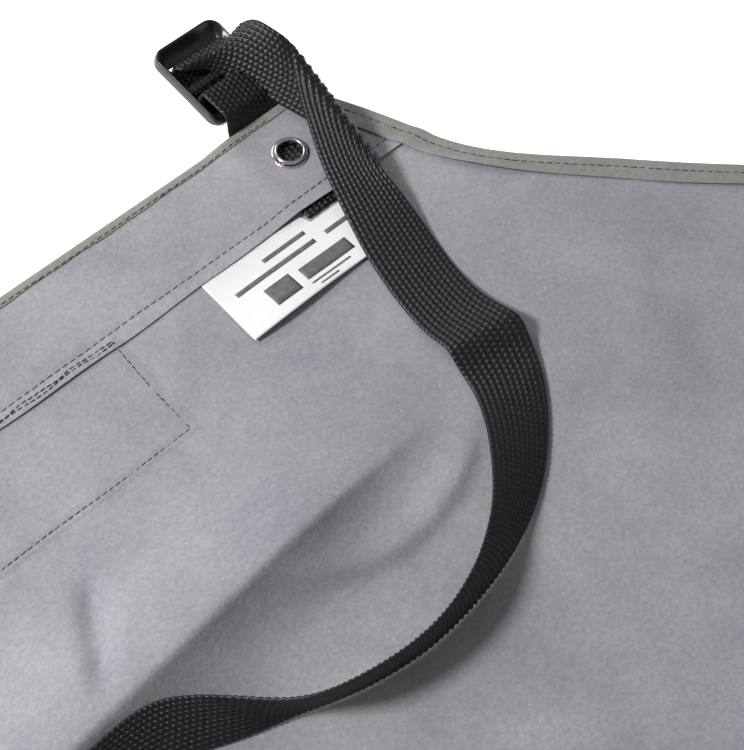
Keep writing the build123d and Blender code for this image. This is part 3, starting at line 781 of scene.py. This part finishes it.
for sign in (-1, 1):
    i = int(np.argmin(np.abs(row_y - WAIST_EYELET[1])))
    j = int(np.argmin(np.abs(column_u - sign * eyelet_u)))
    keep[i - 1:i + 1, j - 1:j + 1] = False
    centre = np.array((sign * WAIST_EYELET[0], WAIST_EYELET[1]))
    for di in (-1, 0, 1):
        for dj in (-1, 0, 1):
            if di or dj:
                a = math.atan2(di, dj)
                panel_x[i + di, j + dj] = centre[0] + 5.7 * math.cos(a)
                panel_y[i + di, j + dj] = centre[1] + 5.7 * math.sin(a)
panel_top = surface(panel_x, panel_y)
panel = slab("panel_cloth", panel_x, panel_y, panel_top, panel_top - CLOTH, [BACK, FRONT], keep)
declare(panel, "coated_cloth_back", "main_panel")

patch_x, patch_y = np.meshgrid(
    np.linspace(-PATCH_HALF + 0.3, PATCH_HALF - 0.3, 60),
    np.linspace(TOP - PATCH_BOTTOM + 0.3, TOP - PATCH_TOP - 0.3, 34),
)
patch_top = surface(patch_x, patch_y) - CLOTH - 0.02
patch = slab("front_patch_cloth", patch_x, patch_y, patch_top, np.maximum(patch_top - 0.46, 0), [BACK, FRONT])
declare(patch, "coated_cloth_front", "front_patch")


# ---------------------------------------------------------------- facing and its turned edge
facing_down = np.concatenate([[0.5], np.arange(1.2, FACING_DEPTH, 0.8), [FACING_DEPTH]])[::-1]
facing_u = np.linspace(-1, 1, 281)
facing_half = half_width(TOP - facing_down, 1.4)
facing_x = facing_half[:, None] * facing_u[None, :]
facing_y = np.repeat((TOP - facing_down)[:, None], len(facing_u), axis=1)
wander = 0.35 * np.sin(facing_x / 23) + 0.2 * np.sin(facing_x / 7.3 + 1)
facing_y -= wander * smooth(facing_down, FACING_SEAM, FACING_DEPTH)[:, None]
facing_z = facing_top(facing_x, facing_y)
middle_x = (facing_x[1:, 1:] + facing_x[:-1, :-1]) / 2
middle_y = (facing_y[1:, 1:] + facing_y[:-1, :-1]) / 2
facing_keep = np.ones(middle_x.shape, bool)
for sign in (-1, 1):
    facing_keep &= np.hypot(middle_x - sign * BIB_EYELET[0], middle_y - BIB_EYELET[1]) > 5.8
facing = slab("facing_cloth", facing_x, facing_y, facing_z, facing_z - 0.45, [BACK, FRONT], facing_keep)
declare(facing, "coated_cloth_back", "top_facing")


def roll_ring(x):
    """Section through the front cloth turned over the top edge, at one x."""
    top = float(facing_top(x, TOP - 2.0)) + 0.03
    bulge = float(channel_bulge(x))
    low = bulge * (CLOTH + CHANNEL_H - 0.25)
    pucker = 0.10 * math.sin(x / 1.9 + math.sin(x / 4.3))
    depth = ROLL_DEPTH + 0.25 * math.sin(x / 9) + 0.15 * math.sin(x / 3.1)
    section = [
        (0.9, low), (0.35, low + 0.08), (0.02, low + 0.4), (-0.06, (low + top + 0.5) / 2), (0.05, top + 0.2),
        (0.4, top + 0.5), (1.0, top + 0.58), (TOP_SEAM - 0.9, top + 0.55 + pucker), (TOP_SEAM - 0.3, top + 0.42),
        (TOP_SEAM + 0.3, top + 0.42), (depth - 0.1, top + 0.5), (depth + 0.05, top + 0.3), (depth, top),
        (2.0, top - 0.01), (0.9, top - 0.02), (0.6, (low + top) / 2 + 0.2),
    ]
    return [(x, TOP - d, z) for d, z in section]


roll_xs = np.arange(-155.5, 155.6, 0.75)
roll = outward(sweep("top_edge_turned", [roll_ring(x) for x in roll_xs], [FRONT]))
declare(roll, "coated_cloth_front", "top_edge_roll")


# ---------------------------------------------------------------- hems
HEM_SECTION = [
    (0.75, 0.02, 0), (0.3, 0.06, 0), (0.05, 0.28, 0), (0.0, 0.55, 0.5), (0.06, 0.85, 1), (0.32, 1.04, 1),
    (0.9, 1.09, 1), (2.2, 1.10, 1), (HEM_SEAM - 0.5, 1.07, 1), (HEM_SEAM, 0.98, 1), (HEM_SEAM + 0.5, 1.07, 1),
    (5.6, 1.12, 1), (7.4, 1.12, 1), (8.6, 1.08, 1), (9.0, 0.95, 1), (9.0, 0.64, 1), (8.7, 0.58, 1),
    (6.0, 0.56, 1), (HEM_SEAM, 0.53, 1), (1.2, 0.53, 1), (0.8, 0.45, 1),
]


def hem(line, lift=None, seed=0.0):
    """Rings of a single fold along an edge line whose cloth is on its right-hand side."""
    tangent = np.gradient(line, axis=0)
    tangent /= np.linalg.norm(tangent, axis=1, keepdims=True)
    inward = np.stack([tangent[:, 1], -tangent[:, 0]], 1)
    s = lengths_along(line)[:, None]
    d, z, upper = (np.array(column)[None, :] for column in zip(*HEM_SECTION))
    pucker = 0.10 * np.sin(s / 1.7 + seed + 1.2 * np.sin(s / 5.3))
    wave = 0.30 * np.sin(s / 13 + seed) + 0.2 * np.sin(s / 31 + 2 * seed)
    raised = 0.0 if lift is None else lift(line)[:, None]
    spread = np.where(d > HEM_SEAM, d * (1 + 0.05 * np.sin(s / 19 + seed)), d)
    x = line[:, :1] + inward[:, :1] * spread
    y = line[:, 1:] + inward[:, 1:] * spread
    free = np.clip(d - HEM_SEAM, 0, None) / (HEM - HEM_SEAM)
    side = np.clip(1 - np.abs(d - HEM_SEAM) / 5, 0, 1)
    rise = upper * (side * pucker + free * (0.25 + wave * 0.5 + raised))
    base = np.where(upper > 0, layer_top(x, y), surface(x, y)) - CLOTH
    return np.stack([x, y, np.maximum(base + z + rise, 0)], -1)


def resampled(line, pitch):
    length = lengths_along(line)
    marks = np.linspace(0, length[-1], max(2, int(round(length[-1] / pitch)) + 1))
    return np.stack([np.interp(marks, length, line[:, k]) for k in range(2)], 1)


def mirrored(rings):
    return rings * np.array((-1.0, 1.0, 1.0))


def armhole_lift(line):
    """The hem's inner edge stands away from the cloth just below the facing."""
    down = TOP - line[:, 1]
    return 1.9 * np.exp(-(((down - 60) / 14) ** 2)) + 0.5 * np.exp(-(((down - 120) / 22) ** 2))


armhole_rings = hem(resampled(armhole_line(0.0), 1.6), armhole_lift, 0.4)
side_line = np.array([(HALF_WIDTH, WAIST - 3.0), (HALF_WIDTH, BOTTOM + HEM + 3)])
side_rings = hem(resampled(side_line, 3.0), None, 1.3)
for side, shape in (("right", lambda r: r), ("left", mirrored)):
    piece = outward(sweep(f"armhole_hem_cloth_{side}", shape(armhole_rings), [FRONT]))
    declare(piece, "coated_cloth_front", f"armhole_hem_{side}")
    piece = outward(sweep(f"side_hem_cloth_{side}", shape(side_rings), [FRONT]))
    declare(piece, "coated_cloth_front", f"side_hem_{side}")
bottom_line = np.array([(HALF_WIDTH - 0.6, BOTTOM), (-HALF_WIDTH + 0.6, BOTTOM)])
piece = outward(sweep("bottom_hem_cloth", hem(resampled(bottom_line, 3.0), None, 2.1), [FRONT]))
declare(piece, "coated_cloth_front", "bottom_hem")


# ---------------------------------------------------------------- waist reinforcements
for side, sign in (("right", 1), ("left", -1)):
    grid_x, grid_y = np.meshgrid(np.linspace(-20, 20, 41), np.linspace(-20, 20, 41))
    corner = smooth(np.abs(grid_x) + np.abs(grid_y), 36.5, 40)
    grid_x, grid_y = grid_x * (1 - 0.03 * corner), grid_y * (1 - 0.03 * corner)
    centre_x = sign * WAIST_EYELET[0]
    square_x, square_y = grid_x + centre_x, grid_y + WAIST_EYELET[1]
    square_z = surface(square_x, square_y) + 0.5
    near = np.maximum(np.abs(grid_x), np.abs(grid_y))
    square_z = square_z - 0.12 * np.exp(-(((near - 18) / 0.8) ** 2))
    cell = np.hypot((grid_x[1:, 1:] + grid_x[:-1, :-1]) / 2, (grid_y[1:, 1:] + grid_y[:-1, :-1]) / 2) > 6.0
    piece = slab(f"waist_square_{side}", square_x, square_y, square_z, square_z - 0.46, [FRONT], cell)
    piece.data.polygons.foreach_set("material_index", np.zeros(len(piece.data.polygons), np.int32))
    declare(piece, "coated_cloth_front", f"waist_reinforcement_{side}")


# ---------------------------------------------------------------- eyelets
def eyelet_pieces(kind, side, place, flange_z, stack, washer_z):
    curl_z = flange_z + EYELET_FLANGE_T + stack + EYELET_CURL
    profile = [
        (EYELET_HOLE, flange_z), (EYELET_FLANGE, flange_z), (EYELET_FLANGE, flange_z + 0.42),
        (EYELET_TUBE, flange_z + EYELET_FLANGE_T), (EYELET_TUBE, curl_z - 0.45),
    ]
    for a in np.linspace(-40, 180, 12):
        turn = math.radians(a)
        profile.append((EYELET_CURL_AT + EYELET_CURL * math.cos(turn), curl_z + EYELET_CURL * math.sin(turn)))
    barrel = lathe(f"{kind}_barrel_{side}", profile, place, [NICKEL])
    declare(barrel, "nickel", f"{kind}_{side}")
    ring = [
        (5.06, 0), (7.1, 0), (7.12, 0.16), (6.95, 0.36), (6.6, 0.5), (6.25, 0.54), (5.95, 0.42), (5.7, 0.30),
        (5.06, 0.30),
    ]
    ring = [(r, washer_z + z) for r, z in ring]
    washer = lathe(f"{kind}_ring_{side}", ring, place, [NICKEL])
    declare(washer, "nickel", f"{kind}_washer_{side}")


for side, sign in (("right", 1), ("left", -1)):
    eyelet_pieces("bib_eyelet", side, (sign * BIB_EYELET[0], BIB_EYELET[1]), 2.05, 1.0, 3.0)
    eyelet_pieces("waist_eyelet", side, (sign * WAIST_EYELET[0], WAIST_EYELET[1]), 0.0, 1.35, 1.42)


# ---------------------------------------------------------------- stitching
STITCH_PROFILE = [
    (-0.5, 0.5, -0.22), (-0.36, 0.95, 0.02), (-0.12, 1.0, 0.13), (0.12, 1.0, 0.13), (0.36, 0.95, 0.02),
    (0.5, 0.5, -0.22),
]


def stitches(name, rows, height, nodes, material=None, pitch=3.1, thread=0.2, lean=0.06, share=0.92):
    """Rows of separate stitches, each a short strand that dips into the cloth at both ends."""
    around = 7
    t, scale, up = (np.array(column)[None, :] for column in zip(*STITCH_PROFILE))
    rings = t.shape[1]
    vertices = []
    for row in rows:
        line = np.asarray(row, float)
        length = lengths_along(line)
        total = length[-1]
        count = max(1, int(total / pitch))
        middle = ((np.arange(count) + 0.5) * total / count)[:, None]
        stretch = share * total / count * (1 + 0.06 * rng.uniform(-1, 1, (count, 1)))
        skew = lean + 0.05 * rng.uniform(-1, 1, (count, 1))
        s = np.clip(middle + t * stretch, 0, total)
        x, y = (np.interp(s, length, line[:, axis]) for axis in (0, 1))
        tx, ty = (
            np.interp(np.minimum(s + 0.3, total), length, line[:, axis])
            - np.interp(np.maximum(s - 0.3, 0), length, line[:, axis]) for axis in (0, 1)
        )
        norm = np.hypot(tx, ty)
        tx, ty = tx / norm, ty / norm
        x, y = x - ty * t * stretch * skew, y + tx * t * stretch * skew
        z = height(x, y) + up * thread / 0.24
        a = np.arange(around) * 2 * math.pi / around
        c = np.cos(a)[None, None, :] * (thread * scale)[:, :, None]
        w = np.sin(a)[None, None, :] * (thread * scale)[:, :, None]
        points = np.stack(np.broadcast_arrays(
            x[..., None] - ty[..., None] * c, y[..., None] + tx[..., None] * c, np.maximum(z[..., None] + w, 0.02)
        ), -1)
        vertices.append(points.reshape(-1, 3))
    vertices = np.vstack(vertices)
    template = tube_quads(rings, around)
    template += [list(range(around)), list(range((rings - 1) * around, rings * around))]
    each = rings * around
    faces = [[v + k * each for v in face] for k in range(len(vertices) // each) for face in template]
    declare(outward(make_object(name, vertices, faces, [material or THREAD])), "thread", *nodes)


def on_hem(x, y):
    return layer_top(x, y) + 0.46


wavy = np.arange(-139, 139.1, 2.0)
stitches("top_row", [np.stack([wavy, TOP - TOP_SEAM + 0.12 * np.sin(wavy / 11)], 1)],
         lambda x, y: facing_top(x, TOP - 2.0) + 0.44, ["top_stitch"])
seam_x = np.arange(-172, 172.1, 2.0)
seam_y = TOP - FACING_SEAM + 0.25 * np.sin(seam_x / 29) + 0.1 * np.sin(seam_x / 7)
stitches("facing_row", [np.stack([seam_x, seam_y], 1)], lambda x, y: facing_top(x, y) - 0.02, ["facing_stitch"])
patch_low = TOP - PATCH_BOTTOM + PATCH_SEAM
patch_rows = [
    [
        (sign * (PATCH_ROW_X + 0.2), TOP - FACING_DEPTH - 0.6), (sign * (PATCH_ROW_X - 0.5), TOP - 62),
        (sign * PATCH_ROW_X, patch_low),
    ]
    for sign in (-1, 1)
] + [[(PATCH_ROW_X, patch_low), (10, patch_low - 0.4), (-15, patch_low + 0.3), (-PATCH_ROW_X, patch_low)]]
stitches("patch_row", patch_rows, lambda x, y: surface(x, y) + 0.02, ["patch_stitch"], PATCH_THREAD, 2.6)
top_x = np.arange(-40.5, 40.6, 1.5)
upper_y = TOP - PATCH_TOP - 0.9 + 0.35 * np.sin(top_x / 3.3) + 0.2 * np.sin(top_x / 1.7)
lower_y = TOP - PATCH_TOP - 2.0 + 0.45 * np.sin(top_x / 4.1 + 2)
stitches(
    "patch_top_row",
    [np.stack([top_x, upper_y], 1), np.stack([top_x, lower_y], 1), [(40.2, TOP - 38.2), (41.0, TOP - 40.6)]],
    facing_top, ["patch_top_stitch"], PATCH_THREAD, 2.4, 0.26,
)
armhole_seam = resampled(armhole_line(HEM_SEAM), 2.0)[2:-3]
side_seam = [(HALF_WIDTH - HEM_SEAM, WAIST - 6), (HALF_WIDTH - HEM_SEAM, BOTTOM + HEM + 4)]
ex, ey = WAIST_EYELET
square = [(ex - 18, ey - 18), (ex + 18, ey - 18), (ex + 18, ey + 18), (ex - 18, ey + 18), (ex - 18, ey - 18)]
for side, sign in (("right", 1), ("left", -1)):
    flip = np.array((sign, 1.0))
    stitches(f"armhole_row_{side}", [armhole_seam * flip], on_hem, [f"armhole_stitch_{side}"])
    stitches(f"side_row_{side}", [np.array(side_seam) * flip], on_hem, [f"side_stitch_{side}"])
    stitches(f"waist_square_row_{side}", [np.array(square[k:k + 2]) * flip for k in range(4)],
             lambda x, y: surface(x, y) + 0.42, [f"waist_reinforcement_stitch_{side}"])
bottom_seam = [(-HALF_WIDTH + 8, BOTTOM + HEM_SEAM), (HALF_WIDTH - 8, BOTTOM + HEM_SEAM)]
stitches("bottom_row", [bottom_seam], on_hem, ["bottom_stitch"])


# ---------------------------------------------------------------- label
LABEL_LEFT, LABEL_RIGHT = 77.5, 139.5
LABEL_BOTTOM = 70.6


def label_height(x, down):
    """The label lies on the cloth at its sewn edge and curls up towards its free edge."""
    t = smooth(down, 43, 72)
    across = (x - LABEL_LEFT) / (LABEL_RIGHT - LABEL_LEFT)
    curl = 2.6 * t * (0.35 + 0.65 * np.sin(math.pi * np.clip(across * 0.9 + 0.12, 0, 1)))
    curl = curl + 0.5 * np.sin(across * 7) * t
    return surface(x, TOP - down) + 0.22 + curl


label_u = np.arange(0, 62.1, 1.0)
label_v = np.linspace(0, 1, 34)
label_top_down = 41.0 + 4.6 * smooth(LABEL_LEFT + label_u, 122.0, 123.5)
label_low_down = LABEL_BOTTOM + 0.25 * np.sin(label_u / 9)
label_down = label_low_down[None, :] + (label_top_down - label_low_down)[None, :] * label_v[:, None]
label_x = np.repeat((LABEL_LEFT + label_u)[None, :], len(label_v), axis=0) + 0.15 * np.sin(label_down / 6)
label_z = label_height(label_x, label_down)
label = slab("label_satin", label_x, TOP - label_down, label_z + 0.12, label_z - 0.10, [SATIN, SATIN])
declare(label, "label_satin", "label")


def print_bar(x0, x1, down0, down1):
    """A thin printed bar that follows the label, as one closed shell."""
    xs = np.linspace(x0, x1, max(3, int((x1 - x0) / 1.2)))
    downs = np.linspace(down1, down0, 4)
    grid_x, grid_down = np.meshgrid(xs, downs)
    z = label_height(grid_x, grid_down) + 0.15
    return grid_x, TOP - grid_down, z


PRINT_BARS = [
    (100.0, 119.0, 46.6, 48.4), (84.0, 119.6, 51.6, 53.6), (92.0, 103.0, 57.4, 66.0), (106.5, 128.0, 58.6, 64.6),
    (124.5, 136.0, 51.6, 53.6), (106.5, 124.0, 66.2, 67.0), (109.0, 117.0, 68.2, 68.9),
]
for number, bar in enumerate(PRINT_BARS):
    bar_x, bar_y, bar_z = print_bar(*bar)
    piece = slab(f"label_print_{number}", bar_x, bar_y, bar_z, bar_z - 0.05, [PRINT, PRINT])
    declare(piece, "label_satin")


# ---------------------------------------------------------------- floor, light, world
def flat_plate(name, half, z, material):
    mesh = bpy.data.meshes.new(name)
    corners = [(-half, -half, z), (half, -half, z), (half, half, z), (-half, half, z)]
    mesh.from_pydata(corners, [], [(0, 1, 2, 3)])
    mesh.materials.append(material)
    made = bpy.data.objects.new(name, mesh)
    bpy.context.scene.collection.objects.link(made)
    return made


FLOOR = simple_material(
    "floor_white", (0.90, 0.90, 0.90), (0.93, 0.93, 0.93), 3, 0.85, [(40, 0.02, 0.001)], specular=0.2
)
floor_shader = FLOOR.node_tree.nodes["Principled BSDF"]
floor_shader.inputs["Emission Color"].default_value = (1, 1, 1, 1)
floor_shader.inputs["Emission Strength"].default_value = 0.8
flat_plate("floor", 6.0, -0.0006, FLOOR)


def area_light(name, place, target, size, power, colour=(1, 1, 1)):
    light = bpy.data.lights.new(name, "AREA")
    light.shape = "DISK"
    light.size = size
    light.energy = power
    light.color = colour
    made = bpy.data.objects.new(name, light)
    made.location = place
    made.rotation_euler = (Vector(target) - Vector(place)).to_track_quat("-Z", "Y").to_euler()
    bpy.context.scene.collection.objects.link(made)
    return made


area_light("key", (-0.71, 0.87, 0.89), (0.05, 0.42, 0), 0.26, 15.0)
area_light("far_fill", (0.1, 1.9, 1.0), (0.05, 0.4, 0), 0.8, 7.0)
world = bpy.data.worlds.new("studio")
bpy.context.scene.world = world
world.use_nodes = True
world.node_tree.nodes["Background"].inputs["Color"].default_value = (1, 1, 1, 1)
world.node_tree.nodes["Background"].inputs["Strength"].default_value = 0.27
bpy.context.scene.view_settings.view_transform = "Standard"
